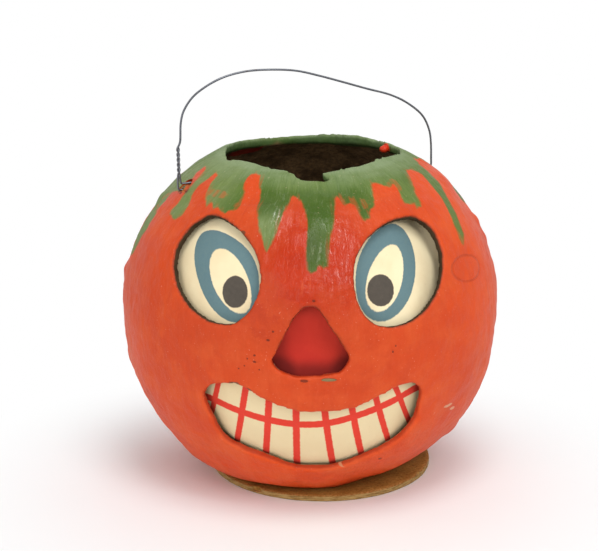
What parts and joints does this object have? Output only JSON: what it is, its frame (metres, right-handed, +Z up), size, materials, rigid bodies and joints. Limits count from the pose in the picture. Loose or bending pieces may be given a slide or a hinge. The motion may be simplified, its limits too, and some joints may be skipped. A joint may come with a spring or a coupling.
{
  "type": "hanging jack-o-lantern candle holder",
  "caption": "Hanging pumpkin-faced lantern of painted paper pulp with cut-out face, printed paper insert, swinging wire bail, round card base and inner candle cup.",
  "frame": {"origin": "on the underside of the card base, at the axis of the pulp body", "axes": "-Y towards the face, +X to the right as the face is seen, +Z up"},
  "size_m": [0.102, 0.1019, 0.11],
  "materials": {
    "painted_pulp": "worn satin paint",
    "printed_paper": "matte print",
    "strip_paper": "matte",
    "steel_wire": "dull, slightly tarnished",
    "card": "matte, worn edge",
    "tin": "dull tinplate",
    "rivet_steel": "dull"
  },
  "bodies": {
    "lantern": {"front_shell": "painted_pulp", "rear_shell": "painted_pulp", "face_insert": "printed_paper", "seam_strip_left": "strip_paper", "seam_strip_right": "strip_paper", "base_disc": "card", "drip_pan": "tin", "candle_cup": "tin", "pan_rivet": "rivet_steel"},
    "bail": {"bail_wire": "steel_wire"}
  },
  "joints": [
    {"name": "bail_swing", "type": "hinge", "parent": "lantern", "child": "bail", "pos_m": [0, 0, 0.08001], "axis": [0.9413, 0.337, 0.0168], "range_deg": [-74, 74]}
  ]
}
